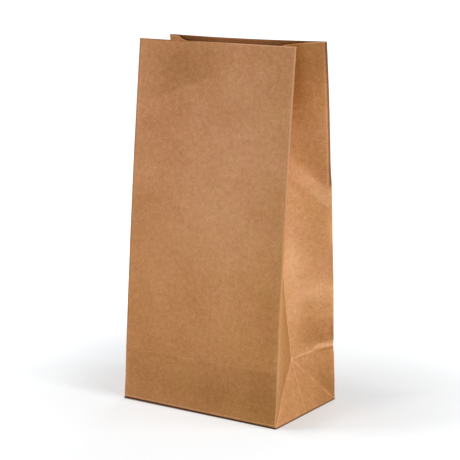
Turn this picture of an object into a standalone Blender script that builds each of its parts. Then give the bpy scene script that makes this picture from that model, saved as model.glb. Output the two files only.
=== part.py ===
"""Brown paper lunch bag, standing open: one kraft sheet folded into a gusseted tube with a block bottom.

Lengths are in metres, +Z is up. The origin is the middle of the base, on the surface the bag stands on.
The front panel faces -Y, and a gusset folds in on each side, at -X and +X.
"""

import math

import bmesh
import bpy
from mathutils import Vector

MM = 0.001

# Sizes of the folded sheet
WIDTH = 130 * MM  # across the front and back panels
DEPTH = 80 * MM  # across a gusset laid flat, so front to back at the base
PANEL_LENGTH = 260 * MM  # up the paper, from the base's crease to the mouth
PAPER = 0.12 * MM  # one layer of kraft paper
SEAM_LAP = 12 * MM  # glued lap where the sheet's two side edges meet
SEAM_INSET = 32 * MM  # from the back panel's left edge to the line where the sheet's first edge lies
SEAM_FOLD = 1 * MM  # from that line to where the lap begins to lie on top
SEAM_FOOT = 5 * MM  # how far above the base's crease the lap is modelled from
FLAP_LAP = 20 * MM  # how far the two bottom flaps overlap
BOTTOM_LAYERS = 3  # layers pasted together over most of the bottom
TRIANGLE_INSET = 0.6 * MM  # how far the end triangles' folds lie inside the flaps' slanting edges
FOLD_RIM = 1 * MM  # width of the folded edge that touches down all round the base

# How far the bag stands open
MOUTH_GAP = 38 * MM  # front to back between the corners of the mouth
MOUTH_SETBACK = 4.5 * MM  # how far the mouth's middle stands behind the base's middle
GUSSET_TUCK = 12.5 * MM  # how far each gusset is pushed in where its folds meet
GUSSET_SLACK = 1 * MM  # what the waves in the paper take off the width of half a gusset
CREASE_DROP = 3 * MM  # how much lower than the corners a gusset's crease ends at the mouth
BACK_BOW = 8 * MM  # how far the middle of the back panel bows in at the mouth
FRONT_BOW = 2 * MM  # how far the middle of the front panel bows out at the mouth
FRONT_CURL = 0.15  # share of the front panel's lean that comes in towards the mouth
BACK_CURL = 0.4  # the same for the back panel, which bends more near the top
FRONT_CURL_POWER = 2
BACK_CURL_POWER = 4

# How finely the curved paper is modelled
PANEL_STEP = 17 * MM
ROW_STEP = 12 * MM
CORNER_STEPS = 3  # steps across half a gusset, and up to the height where its folds meet
BEND_STEPS = 24  # steps in working out how high a curved panel reaches
WELD = 0.01 * MM

HALF_WIDTH = WIDTH / 2
HALF_DEPTH = DEPTH / 2
GIRTH = 2 * (WIDTH + DEPTH)

# Where the folds meet: the apex of the triangle at the foot of a gusset, and the corner creases beside it
APEX_HEIGHT = math.sqrt(HALF_DEPTH**2 - GUSSET_TUCK**2)
HINGE_Y = 2 * HALF_DEPTH * APEX_HEIGHT**2 / (APEX_HEIGHT**2 + HALF_DEPTH**2)
HINGE_Z = 2 * HALF_DEPTH**2 * APEX_HEIGHT / (APEX_HEIGHT**2 + HALF_DEPTH**2)

FRONT, BACK = -1, 1
LEFT, RIGHT = -1, 1
CURLS = {FRONT: (FRONT_CURL, FRONT_CURL_POWER), BACK: (BACK_CURL, BACK_CURL_POWER)}
BOWS = {FRONT: FRONT_BOW, BACK: BACK_BOW}

KRAFT_BROWN = (0.48, 0.23, 0.105, 1)
KRAFT_ROUGHNESS = 0.8


def clear_scene():
    for thing in list(bpy.data.objects):
        bpy.data.objects.remove(thing, do_unlink=True)


def new_collection(name):
    collection = bpy.data.collections.new(name)
    bpy.context.scene.collection.children.link(collection)
    return collection


def kraft_material():
    material = bpy.data.materials.new("kraft_paper")
    material.use_nodes = True
    shader = material.node_tree.nodes["Principled BSDF"]
    shader.inputs["Base Color"].default_value = KRAFT_BROWN
    shader.inputs["Roughness"].default_value = KRAFT_ROUGHNESS
    shader.inputs["Metallic"].default_value = 0
    return material


def above_hinge(length):
    """How far a place is from the height where the folds meet, 0, to the mouth, 1."""
    return max(0.0, (length - HALF_DEPTH) / (PANEL_LENGTH - HALF_DEPTH))


def corner_depth(side, length):
    """How far front or back a corner crease stands, at this length up the paper."""
    if length <= HALF_DEPTH:
        return side * (HALF_DEPTH + (HINGE_Y - HALF_DEPTH) * length / HALF_DEPTH)
    curl, power = CURLS[side]
    up = above_hinge(length)
    mouth = MOUTH_SETBACK + side * MOUTH_GAP / 2
    return side * HINGE_Y + (mouth - side * HINGE_Y) * ((1 - curl) * up + curl * up**power)


def corner_height(side, length):
    """How high the same place stands: the paper keeps its length, so what leans loses height."""
    if length <= HALF_DEPTH:
        return HINGE_Z * length / HALF_DEPTH
    height = HINGE_Z
    step = (length - HALF_DEPTH) / BEND_STEPS
    for number in range(BEND_STEPS):
        low = HALF_DEPTH + number * step
        lean = corner_depth(side, low + step) - corner_depth(side, low)
        height += math.sqrt(step**2 - lean**2)
    return height


def corner_point(end, side, length):
    return Vector((end * HALF_WIDTH, corner_depth(side, length), corner_height(side, length)))


def gusset_crease(end, length):
    """The gusset's middle crease, half a gusset's width from both corner creases."""
    front = corner_point(end, FRONT, length)
    back = corner_point(end, BACK, length)
    up = above_hinge(length)
    drop = (HINGE_Z - APEX_HEIGHT) * (1 - up) + CREASE_DROP * up
    reach = HALF_DEPTH - GUSSET_SLACK * math.sqrt(up)
    inward = math.sqrt(max(reach**2 - ((back - front).length / 2) ** 2 - drop**2, 0.0))
    middle = (front + back) / 2
    return Vector((middle.x - end * inward, middle.y, middle.z - drop))


def fold_point(end, side, length):
    """The 45 degree fold from a corner of the base to the apex, and the middle crease above it."""
    if length >= HALF_DEPTH:
        return gusset_crease(end, length)
    foot = Vector((end * HALF_WIDTH, side * HALF_DEPTH, 0))
    return foot.lerp(gusset_crease(end, HALF_DEPTH), length / HALF_DEPTH)


def gusset_point(end, across, length):
    """A place on a gusset, across it from the front corner crease to the back one."""
    side = FRONT if across <= HALF_DEPTH else BACK
    from_corner = across if side == FRONT else DEPTH - across
    fold_at = min(length, HALF_DEPTH)
    if from_corner < fold_at:
        return corner_point(end, side, length).lerp(fold_point(end, side, length), from_corner / fold_at)
    near = fold_point(end, FRONT, length)
    far = fold_point(end, BACK, length)
    between = DEPTH - 2 * fold_at
    return near.lerp(far, (across - fold_at) / between) if between > WELD else near


def panel_point(side, x, length):
    """A place on the front or back panel, which bows a little between its corner creases."""
    bow = BOWS[side] * above_hinge(length) ** 2 * (1 - (x / HALF_WIDTH) ** 2)
    return Vector((x, corner_depth(side, length) - bow, corner_height(side, length)))


def folded(girth, length):
    """Where a place on the flat sheet goes: girth is measured from the lap seam, left gusset first."""
    left_back = SEAM_INSET
    left_front = left_back + DEPTH
    right_front = left_front + WIDTH
    right_back = right_front + DEPTH
    if girth <= left_back:
        return panel_point(BACK, left_back - girth - HALF_WIDTH, length)
    if girth <= left_front:
        return gusset_point(LEFT, left_front - girth, length)
    if girth <= right_front:
        return panel_point(FRONT, girth - left_front - HALF_WIDTH, length)
    if girth <= right_back:
        return gusset_point(RIGHT, girth - right_front, length)
    return panel_point(BACK, right_back + HALF_WIDTH - girth, length)


def stations(marks, step):
    """The marks, with the stretch between each two shared out evenly in steps of about this length."""
    found = [marks[0]]
    for low, high in zip(marks, marks[1:]):
        parts = max(1, round((high - low) / step))
        found += [low + (high - low) * part / parts for part in range(1, parts + 1)]
    return found


def girth_stations():
    """Where the sheet bends across its width: at every crease, and at even steps between the creases."""
    corner_step = HALF_DEPTH / CORNER_STEPS
    first_gusset = [SEAM_INSET, SEAM_INSET + HALF_DEPTH, SEAM_INSET + DEPTH]
    second_gusset = [mark + DEPTH + WIDTH for mark in first_gusset]
    columns = stations([0, first_gusset[0]], PANEL_STEP)
    columns += stations(first_gusset, corner_step)[1:]
    columns += stations([first_gusset[-1], second_gusset[0]], PANEL_STEP)[1:]
    columns += stations(second_gusset, corner_step)[1:]
    return columns + stations([second_gusset[-1], GIRTH], PANEL_STEP)[1:]


def length_stations():
    rows = stations([0, HALF_DEPTH], HALF_DEPTH / CORNER_STEPS)
    return rows + stations([HALF_DEPTH, PANEL_LENGTH], ROW_STEP)[1:]


def flat_sheet(columns, rows):
    """A grid whose lines stand at these stations: girth along X, length up the paper along Y."""
    sheet = bmesh.new()
    across = len(columns) - 1
    along = len(rows) - 1
    bmesh.ops.create_grid(sheet, x_segments=across, y_segments=along, size=1)
    for vertex in sheet.verts:
        column = round((vertex.co.x + 1) / 2 * across)
        row = round((vertex.co.y + 1) / 2 * along)
        vertex.co = (columns[column], rows[row], 0)
    return sheet


def score_diagonal(sheet, start, along):
    """Cuts a 45 degree fold into the foot of a gusset, between a base corner and the apex."""
    low = min(start, start + along * HALF_DEPTH)
    faces = [
        face
        for face in sheet.faces
        if low < face.calc_center_median().x < low + HALF_DEPTH
        and face.calc_center_median().y < HALF_DEPTH
    ]
    edges = {edge for face in faces for edge in face.edges}
    corners = {vertex for face in faces for vertex in face.verts}
    bmesh.ops.bisect_plane(
        sheet,
        geom=faces + list(edges) + list(corners),
        dist=WELD,
        plane_co=(start, 0, 0),
        plane_no=(1, -along, 0),
    )


def fold_sheet(sheet):
    bmesh.ops.triangulate(sheet, faces=sheet.faces[:])
    for vertex in sheet.verts:
        vertex.co = folded(vertex.co.x, vertex.co.y)


def close_bottom(sheet):
    """The outermost layer of the bottom, joined to the foot of the walls."""
    rim = [edge for edge in sheet.edges if edge.is_boundary and max(v.co.z for v in edge.verts) < WELD]
    bottom = bmesh.ops.contextual_create(sheet, geom=rim)["faces"][0]
    bottom.normal_update()
    if bottom.normal.z > 0:
        bottom.normal_flip()


def sheet_object(name, sheet, collection, material):
    mesh = bpy.data.meshes.new(name)
    sheet.to_mesh(mesh)
    sheet.free()
    made = bpy.data.objects.new(name, mesh)
    made.data.materials.append(material)
    collection.objects.link(made)
    return made


def thicken(sheet, thickness, offset):
    layer = sheet.modifiers.new("paper_thickness", "SOLIDIFY")
    layer.thickness = thickness
    layer.offset = offset
    layer.use_even_offset = True


def folded_bag(collection, material):
    """The sheet folded round into the tube, its side edges meeting at the seam, and the bottom closed."""
    sheet = flat_sheet(girth_stations(), length_stations())
    for gusset in (SEAM_INSET, SEAM_INSET + DEPTH + WIDTH):
        score_diagonal(sheet, gusset, 1)
        score_diagonal(sheet, gusset + DEPTH, -1)
    fold_sheet(sheet)
    bmesh.ops.remove_doubles(sheet, verts=sheet.verts[:], dist=WELD)
    close_bottom(sheet)
    bag = sheet_object("paper_bag", sheet, collection, material)
    thicken(bag, PAPER, -1)
    return bag


def lap_seam(collection, material):
    """The second layer of paper where the sheet is lapped and glued, from near the base to the mouth."""
    rows = [SEAM_FOOT] + [row for row in length_stations() if row > SEAM_FOOT + PAPER]
    sheet = flat_sheet([SEAM_FOLD, SEAM_FOLD + SEAM_LAP], rows)
    fold_sheet(sheet)
    lap = sheet_object("lap_seam", sheet, collection, material)
    outside = PAPER
    inside = PAPER / 2  # so that the layer's inner face is buried in the wall
    thicken(lap, outside + inside, (outside - inside) / (outside + inside))
    return lap


def outline_prism(name, points, low, high, collection):
    """A flat outline filled and drawn out from one height to another, as a closed mesh."""
    curve = bpy.data.curves.new(name + "_outline", "CURVE")
    curve.dimensions = "2D"
    curve.fill_mode = "BOTH"
    curve.extrude = (high - low) / 2
    spline = curve.splines.new("POLY")
    spline.points.add(len(points) - 1)
    for place, (x, y) in zip(spline.points, points):
        place.co = (x, y, 0, 1)
    spline.use_cyclic_u = True
    outline = bpy.data.objects.new(name + "_outline", curve)
    outline.location.z = (low + high) / 2
    collection.objects.link(outline)
    bpy.context.view_layer.update()
    graph = bpy.context.evaluated_depsgraph_get()
    mesh = bpy.data.meshes.new_from_object(outline.evaluated_get(graph))
    welded = bmesh.new()
    welded.from_mesh(mesh)
    bmesh.ops.remove_doubles(welded, verts=welded.verts[:], dist=WELD)
    welded.to_mesh(mesh)
    welded.free()
    prism = bpy.data.objects.new(name, mesh)
    prism.matrix_world = outline.matrix_world
    collection.objects.link(prism)
    bpy.data.objects.remove(outline)
    return prism


def inner_layers(collection):
    """The layers pasted inside the bottom, as one plate whose sides run up inside the walls' thickness."""
    bpy.ops.mesh.primitive_cube_add(size=2)
    plate = bpy.context.object
    plate.name = "inner_layers"
    for holder in plate.users_collection:
        holder.objects.unlink(plate)
    collection.objects.link(plate)
    low = PAPER / 2
    high = BOTTOM_LAYERS * PAPER
    for vertex in plate.data.vertices:
        height = high if vertex.co.z > 0 else low
        half_x = HALF_WIDTH - height * GUSSET_TUCK / APEX_HEIGHT - PAPER / 2
        half_y = HALF_DEPTH - height * (HALF_DEPTH - HINGE_Y) / HINGE_Z - PAPER / 2
        vertex.co = (math.copysign(half_x, vertex.co.x), math.copysign(half_y, vertex.co.y), height)
    return plate


def flap_steps(collection):
    """Cutters for the thin steps under the bag: the back flap lies one layer in, the end triangles two."""
    edge_x = HALF_WIDTH - FOLD_RIM
    edge_y = HALF_DEPTH - FOLD_RIM
    meet_x = HALF_WIDTH - HALF_DEPTH  # where the slanting edges of the two flaps cross
    lap = FLAP_LAP / 2
    beside_front_flap = [
        (edge_x, edge_y),
        (-edge_x, edge_y),
        (-edge_x, -edge_y),
        (-meet_x + lap, lap),
        (meet_x - lap, lap),
        (edge_x, -edge_y),
    ]
    cutters = [outline_prism("back_flap_step", beside_front_flap, -PAPER, PAPER, collection)]
    apex_x = meet_x + math.sqrt(2) * TRIANGLE_INSET
    for end, word in ((LEFT, "left"), (RIGHT, "right")):
        triangle = [
            (end * edge_x, edge_x - apex_x),
            (end * apex_x, 0),
            (end * edge_x, apex_x - edge_x),
        ]
        cutters.append(outline_prism(word + "_end_step", triangle, -PAPER, 2 * PAPER, collection))
    return cutters


def combine(bag, other, operation):
    step = bag.modifiers.new(other.name, "BOOLEAN")
    step.operation = operation
    step.solver = "EXACT"
    step.object = other
    other.hide_render = True
    other.display_type = "WIRE"


def main():
    clear_scene()
    parts = new_collection("paper_lunch_bag")
    helpers = new_collection("cutters")
    kraft = kraft_material()
    bag = folded_bag(parts, kraft)
    combine(bag, inner_layers(helpers), "UNION")
    combine(bag, lap_seam(helpers, kraft), "UNION")
    for cutter in flap_steps(helpers):
        combine(bag, cutter, "DIFFERENCE")


main()
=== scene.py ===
# %% [markdown]
# # A brown paper lunch bag
# The object is one sheet of brown kraft paper. It is folded into a flat tube with a gusset on each side,
# its bottom is pasted shut, and here it stands open and empty.
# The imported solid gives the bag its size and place. This script builds the paper that is seen over it.
# Everything is worked out on the flat sheet first and then folded, as the real bag is made.

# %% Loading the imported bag
import math
from functools import reduce

import bmesh
import bpy
import numpy as np
from mathutils import Matrix, Vector


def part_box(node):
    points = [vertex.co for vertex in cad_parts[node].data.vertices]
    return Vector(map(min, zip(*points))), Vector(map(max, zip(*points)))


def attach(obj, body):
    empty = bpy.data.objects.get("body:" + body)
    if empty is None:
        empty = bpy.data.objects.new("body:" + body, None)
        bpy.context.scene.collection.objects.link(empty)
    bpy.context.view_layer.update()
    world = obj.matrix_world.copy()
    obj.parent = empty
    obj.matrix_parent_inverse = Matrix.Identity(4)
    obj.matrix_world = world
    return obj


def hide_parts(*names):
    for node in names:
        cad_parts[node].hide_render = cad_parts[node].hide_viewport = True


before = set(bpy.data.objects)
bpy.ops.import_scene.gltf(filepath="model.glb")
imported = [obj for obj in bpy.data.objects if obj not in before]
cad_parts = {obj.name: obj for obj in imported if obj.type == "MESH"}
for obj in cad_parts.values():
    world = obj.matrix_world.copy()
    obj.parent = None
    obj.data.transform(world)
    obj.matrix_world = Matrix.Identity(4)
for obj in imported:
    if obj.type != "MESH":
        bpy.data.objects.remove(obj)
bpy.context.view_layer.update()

MM = 0.001
low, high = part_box("paper_bag")
WIDTH = high.x - low.x
DEPTH = high.y - low.y
print(f"the packed bag is {WIDTH / MM:.1f} x {DEPTH / MM:.1f} x {(high.z - low.z) / MM:.1f} mm")

# %% [markdown]
# ## The flat sheet
# A bag like this starts as a blank. Two numbers place anything on it: the girth, which runs round the tube
# from the glued seam, and the length, which runs up the paper from the base's crease to the mouth.
# Working in these two numbers keeps the paper's real lengths, so nothing stretches when it is folded,
# and the finish can later be drawn on the sheet as if it still lay flat.

# %% Sizes of the blank
PANEL_LENGTH = 260 * MM
PAPER = 0.12 * MM
SEAM_INSET = 32 * MM  # from the back panel's left edge to the seam
SEAM_LAP = 12 * MM  # the sheet's last edge is glued over its first by this much
SEAM_RAMP = 1.2 * MM  # over this width the last edge climbs onto the first
FLAP_LAP = 20 * MM  # the bottom's two flaps overlap by this much
HALF_WIDTH = WIDTH / 2
HALF_DEPTH = DEPTH / 2
GIRTH = 2 * (WIDTH + DEPTH)
LEFT_BACK = SEAM_INSET
LEFT_FRONT = LEFT_BACK + DEPTH
RIGHT_FRONT = LEFT_FRONT + WIDTH
RIGHT_BACK = RIGHT_FRONT + DEPTH
CORNERS = (LEFT_BACK, LEFT_FRONT, RIGHT_FRONT, RIGHT_BACK)
GUSSETS = (LEFT_BACK + HALF_DEPTH, RIGHT_FRONT + HALF_DEPTH)  # their middle creases
FLAP = HALF_DEPTH + FLAP_LAP / 2
FRONT, BACK = -1, 1
LEFT, RIGHT = -1, 1
print(f"blank: {(GIRTH + SEAM_LAP) / MM:.0f} mm round by {(PANEL_LENGTH + FLAP) / MM:.0f} mm long")

# %% [markdown]
# ## How the paper stands
# When a gusset is pushed in at its foot, three things have to agree: the gusset's triangle, the two half
# gussets above it and the panels. Paper doesn't stretch, so one number, how far the gusset is pushed in,
# fixes the apex of the triangle and the height where the folds meet.
# Above that the panels lean in towards the mouth, and each half gusset swings to keep its own width.
# These sums are the same as in the solid, so the seen paper lies on it.

# %% Where the folds meet
MOUTH_GAP = 38 * MM  # from the front panel to the back one at the mouth's corners
MOUTH_SETBACK = 4.5 * MM  # the mouth stands this far behind the base
GUSSET_TUCK = 12.5 * MM  # how far a gusset is pushed in at its apex
GUSSET_SLACK = 1 * MM  # its waves take up this much of a half gusset's width at the mouth
CREASE_DROP = 3 * MM  # a gusset's middle crease ends this much lower than the mouth's corners
BOWS = {FRONT: 2 * MM, BACK: 8 * MM}  # how far the middle of a panel bows to the front at the mouth
CURLS = {FRONT: (0.15, 2), BACK: (0.4, 4)}  # share of the lean that comes in late, and how late
SPREADS = {FRONT: 0, BACK: 1.9 * MM}  # how far a panel's corners spread sideways at the mouth
APEX_HEIGHT = math.sqrt(HALF_DEPTH**2 - GUSSET_TUCK**2)
HINGE_Y = 2 * HALF_DEPTH * APEX_HEIGHT**2 / (APEX_HEIGHT**2 + HALF_DEPTH**2)
HINGE_Z = 2 * HALF_DEPTH**2 * APEX_HEIGHT / (APEX_HEIGHT**2 + HALF_DEPTH**2)
MARKS = np.linspace(0, PANEL_LENGTH, 2081)  # eight to a millimetre up the paper
MARKS_UP = np.clip((MARKS - HALF_DEPTH) / (PANEL_LENGTH - HALF_DEPTH), 0, 1)


def corner_line(side):
    """How far front or back a corner crease stands, and how high, at each mark up the paper."""
    curl, power = CURLS[side]
    mouth = MOUTH_SETBACK + side * MOUTH_GAP / 2
    foot = side * (HALF_DEPTH + (HINGE_Y - HALF_DEPTH) * MARKS / HALF_DEPTH)
    lean = (1 - curl) * MARKS_UP + curl * MARKS_UP**power
    y = np.where(MARKS < HALF_DEPTH, foot, side * HINGE_Y + (mouth - side * HINGE_Y) * lean)
    climb = np.sqrt(np.diff(MARKS) ** 2 - np.diff(y) ** 2)
    return y, np.concatenate([[0], np.cumsum(climb)])


CORNER = {side: corner_line(side) for side in (FRONT, BACK)}


def gusset_line():
    """The gusset's middle crease: how far in from the bag's side, how far back and how high at each mark."""
    (front_y, front_z), (back_y, back_z) = CORNER[FRONT], CORNER[BACK]
    drop = (HINGE_Z - APEX_HEIGHT) * (1 - MARKS_UP) + CREASE_DROP * MARKS_UP
    reach = HALF_DEPTH - GUSSET_SLACK * np.sqrt(MARKS_UP)
    half_gap = np.hypot(back_y - front_y, back_z - front_z) / 2
    inward = np.sqrt(np.maximum(reach**2 - half_gap**2 - drop**2, 0))
    return inward, (front_y + back_y) / 2, (front_z + back_z) / 2 - drop


CREASE = gusset_line()
print(f"at the mouth a gusset's middle lies {CREASE[0][-1] / MM:.1f} mm in")

# %% [markdown]
# ## Folding a place on the sheet
# The next functions say where any place on the flat sheet ends up. A panel is nearly flat and bows a little.
# A gusset is four faces: two half gussets, and below them the triangles beside the 45 degree folds.
# Below length 0 the paper turns under the base. There the front flap lies outermost, the back flap one layer
# higher, and the end triangles two layers higher.
# An armature could fold it too, but sums that take arrays fold the whole sheet in one go.


# %% Reading and blending values
TINY = 1e-9  # keeps a division away from zero


def at(line, length):
    """A value that was worked out at the marks, read at any length up the paper."""
    return np.interp(length, MARKS, line)


def rising(value, start, end):
    """Goes softly from 0 to 1 while the value goes from start to end."""
    share = np.clip((value - start) / (end - start), 0, 1)
    return share * share * (3 - 2 * share)


def fading(value, start, end):
    return 1 - rising(value, start, end)


def joined(x, y, z):
    return np.stack(np.broadcast_arrays(x, y, z), axis=-1)


def share_between(start, end, share):
    return start + (end - start) * share[..., None]


lean = at(CORNER[FRONT][0], PANEL_LENGTH / 2) + HALF_DEPTH
print(f"halfway up, the front leans back by {lean / MM:.1f} mm")


# %% Panels and gussets
def panel_place(side, x, length):
    y, z = (at(line, length) for line in CORNER[side])
    rise = at(MARKS_UP, length)
    bow = BOWS[side] * rise**2 * (1 - (x / HALF_WIDTH) ** 2)
    return joined(x * (1 + SPREADS[side] * rise**2 / HALF_WIDTH), y - bow, z)


def crease_place(end, length):
    inward, y, z = (at(line, length) for line in CREASE)
    return joined(end * (HALF_WIDTH - inward), y, z)


def gusset_place(end, across, length):
    """Across runs from the gusset's front corner crease to its back one."""
    side = np.where(across <= HALF_DEPTH, FRONT, BACK)
    from_corner = np.minimum(across, DEPTH - across)
    fold_at = np.minimum(length, HALF_DEPTH)
    corners = (panel_place(way, end * HALF_WIDTH, length) for way in (FRONT, BACK))
    corner = np.where((side == FRONT)[..., None], *corners)
    foot = joined(end * HALF_WIDTH, side * HALF_DEPTH, 0 * length)
    apex = crease_place(end, np.full_like(length, HALF_DEPTH))
    diagonal = share_between(foot, apex, np.minimum(length / HALF_DEPTH, 1))
    middle = crease_place(end, length)
    fold = np.where((length >= HALF_DEPTH)[..., None], middle, diagonal)
    beside = share_between(corner, fold, from_corner / np.maximum(fold_at, TINY))
    near, far = (
        share_between(joined(end * HALF_WIDTH, edge, 0 * length), apex, fold_at / HALF_DEPTH)
        for edge in (-HALF_DEPTH, HALF_DEPTH)
    )
    span = np.maximum(DEPTH - 2 * fold_at, TINY)
    triangle = share_between(near, far, np.clip((across - fold_at) / span, 0, 1))
    return np.where((from_corner < fold_at)[..., None], beside, triangle)


print("apex of the right gusset (mm):", np.round(crease_place(RIGHT, HALF_DEPTH) / MM, 1).tolist())

# %% The bottom, and the whole sheet
FLAP_SETTLE = 2 * MM  # from the base's edge to where a flap lies at its own layer


def flap_place(side, x, under):
    layer = 0 if side == FRONT else PAPER
    narrowing = 1 - under / HALF_WIDTH
    return joined(x * narrowing, side * (HALF_DEPTH - under), layer * rising(under, 0, FLAP_SETTLE))


def end_place(end, across, under):
    y = (across - HALF_DEPTH) * (1 - under / HALF_DEPTH)
    return joined(end * (HALF_WIDTH - under), y, 2 * PAPER * rising(under, 0, FLAP_SETTLE))


def folded(girth, length):
    """Where places on the flat sheet go. Past the whole way round, the girth starts again at the seam."""
    round_once = np.where(girth > GIRTH, girth - GIRTH, girth)
    up, under = np.maximum(length, 0), np.maximum(-length, 0)
    standing = (length >= 0)[..., None]
    left_x = LEFT_BACK - round_once - HALF_WIDTH
    right_x = RIGHT_BACK + HALF_WIDTH - round_once
    back = (panel_place, flap_place, BACK, np.where(round_once <= LEFT_BACK, left_x, right_x))
    faces = (
        back,
        (gusset_place, end_place, LEFT, LEFT_FRONT - round_once),
        (panel_place, flap_place, FRONT, round_once - LEFT_FRONT - HALF_WIDTH),
        (gusset_place, end_place, RIGHT, round_once - RIGHT_FRONT),
        back,
    )
    *places, last = (
        np.where(standing, wall(side, along, up), flap(side, along, under))
        for wall, flap, side, along in faces
    )
    return np.select([(round_once <= corner)[..., None] for corner in CORNERS], places, last)


mouth_corner = folded(np.array([LEFT_FRONT]), np.array([PANEL_LENGTH]))[0]
print("the front's left mouth corner (mm):", np.round(mouth_corner / MM, 1).tolist())

# %% [markdown]
# ## Rounded folds
# A crease in paper isn't a knife edge: the fibres turn over a small radius. A Bevel modifier would have to be
# told of every crease. Averaging the folded place of a few neighbours on the sheet rounds every fold at once,
# whatever its direction, and leaves flat paper alone.
# The back corners stay much rounder near the mouth, because nobody pressed them there.

# %% The radius of each fold
FOLD_RADIUS = 0.4 * MM
SOFT_RADIUS = 2.0 * MM
SOFT_FROM, SOFT_TO = 154 * MM, 176 * MM  # up the paper, the back corners go soft between these lengths
SOFT_REACH = 6 * MM  # how far beside a back corner
NEIGHBOURS = {-1: 0.25, -0.5: 0.75, 0: 1.25, 0.5: 0.75, 1: 0.25}  # a distance in radii, and its weight


def fold_radius(girth, length):
    from_back = np.minimum(abs(girth - LEFT_BACK), abs(girth - RIGHT_BACK))
    softness = rising(length, SOFT_FROM, SOFT_TO) * (from_back < SOFT_REACH)
    return FOLD_RADIUS + (SOFT_RADIUS - FOLD_RADIUS) * softness


def rounded(girth, length):
    radius = fold_radius(girth, length)
    walls = length >= 0
    total, weights = 0, 0
    for step, step_weight in NEIGHBOURS.items():
        for rise, rise_weight in NEIGHBOURS.items():
            weight = step_weight * rise_weight
            shift = np.where(walls, step * radius, 0)
            near_length = np.minimum(length + rise * FOLD_RADIUS, PANEL_LENGTH)
            total = total + weight * folded(girth + shift, near_length)
            weights += weight
    return total / weights


print(f"folds turn over {FOLD_RADIUS / MM:.1f} mm, and {SOFT_RADIUS / MM:.1f} mm at the back near the mouth")

# %% [markdown]
# ## Cutting and scoring the mesh
# The sheet is a grid with more lines beside each crease, where the paper bends, and fewer on the flats.
# The 45 degree folds cross the grid's squares, so they are cut in with bisecting planes before folding.
# Each vertex remembers its place on the flat sheet in an attribute, which the finish reads later.

# %% Stations for the grid
STEP = 2.5 * MM
CLOSE = (0.3 * MM, 0.7 * MM, 1.4 * MM)  # a crease gets lines this far from it
DIGITS = 7  # stations are rounded to this many digits of a metre, so that equal ones meet
LIP = 41.5 * MM  # where the pressed level stands out on the back half of a gusset
LIP_BAND = 4 * MM  # the lip gets closer lines over this height


def stations(marks):
    """The marks, lines close beside each of them, and even steps in between."""
    found = set()
    for start, end in zip(marks, marks[1:]):
        parts = max(1, round((end - start) / STEP))
        found.update(start + (end - start) * part / parts for part in range(parts + 1))
        for gap in CLOSE:
            if gap < end - start:
                found.update((start + gap, end - gap))
    return sorted({round(line, DIGITS) for line in found})


ROUND_STATIONS = stations(sorted((0, *CORNERS, *GUSSETS, GIRTH - SEAM_RAMP, GIRTH, GIRTH + SEAM_LAP)))
LENGTH_STATIONS = stations([0, HALF_DEPTH, LIP, LIP + LIP_BAND, PANEL_LENGTH])
print(f"{len(ROUND_STATIONS)} lines round the bag and {len(LENGTH_STATIONS)} up it")

# %% Grids and scored lines
SCORE_BESIDE = 0.6 * MM  # a 45 degree fold gets a line this far on each side of it
SCORE_ABOVE = 2 * MM  # these lines run on this far above the fold's apex
SCORE_SNAP = 0.02 * MM  # a line that passes this close to a vertex goes through it


def grid(sheet, columns, rows, panel):
    """A piece of the flat sheet, girth along X and length along Y. It remembers its panel's number."""
    across, along = len(columns) - 1, len(rows) - 1
    made = bmesh.ops.create_grid(sheet, x_segments=across, y_segments=along, size=1)["verts"]
    panel_layer = sheet.verts.layers.int["panel"]
    for vertex in made:
        column = round((vertex.co.x + 1) / 2 * across)
        row = round((vertex.co.y + 1) / 2 * along)
        vertex.co = (columns[column], rows[row], 0)
        vertex[panel_layer] = panel


def score(sheet, start, along, offset):
    """One line beside a 45 degree fold at the foot of a gusset."""
    foot = min(start, start + along * HALF_DEPTH)
    faces = []
    for face in sheet.faces:
        middle = face.calc_center_median()
        if foot < middle.x < foot + HALF_DEPTH and 0 < middle.y < HALF_DEPTH + SCORE_ABOVE:
            faces.append(face)
    edges = dict.fromkeys(edge for face in faces for edge in face.edges)
    corners = dict.fromkeys(vertex for face in faces for vertex in face.verts)
    cut, side = [*faces, *edges, *corners], (1, -along, 0)
    bmesh.ops.bisect_plane(sheet, geom=cut, dist=SCORE_SNAP, plane_co=(start, offset, 0), plane_no=side)


print(f"scored lines lie {SCORE_BESIDE / MM:.1f} mm beside each 45 degree fold")

# %% The sheet before folding
WALL = 0  # the number of the piece that stands. Those below the base are numbered on from it.
END_GAP = 0.5 * MM  # an end triangle stops this far short of its own point
NEARBY = 2e-6  # two places this close are one, in metres
# For each piece below the base: where along the girth it starts and ends, and how far it reaches.
UNDER = (
    (LEFT_FRONT, RIGHT_FRONT, FLAP),
    (RIGHT_BACK, GIRTH + LEFT_BACK, FLAP),
    (LEFT_BACK, LEFT_FRONT, HALF_DEPTH - END_GAP),
    (RIGHT_FRONT, RIGHT_BACK, HALF_DEPTH - END_GAP),
)
sheet = bmesh.new()
sheet.verts.layers.int.new("panel")
grid(sheet, ROUND_STATIONS, LENGTH_STATIONS, WALL)
for gusset in (LEFT_BACK, RIGHT_FRONT):
    for offset in (-SCORE_BESIDE, SCORE_BESIDE):
        score(sheet, gusset, 1, offset)
        score(sheet, gusset + DEPTH, -1, offset)
once_round = [line for line in ROUND_STATIONS if line < GIRTH - SEAM_RAMP + NEARBY]
past_seam = [line + GIRTH for line in once_round if line < LEFT_BACK + NEARBY]
for panel, (start, end, reach) in enumerate(UNDER, WALL + 1):
    columns = [line for line in once_round + past_seam if start - NEARBY < line < end + NEARBY]
    grid(sheet, columns, sorted(-row for row in stations([0, reach])), panel)
bmesh.ops.triangulate(sheet, faces=[face for face in sheet.faces if len(face.verts) > 4])
print(f"flat sheet: {len(sheet.verts)} vertices, {len(sheet.faces)} faces")

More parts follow.
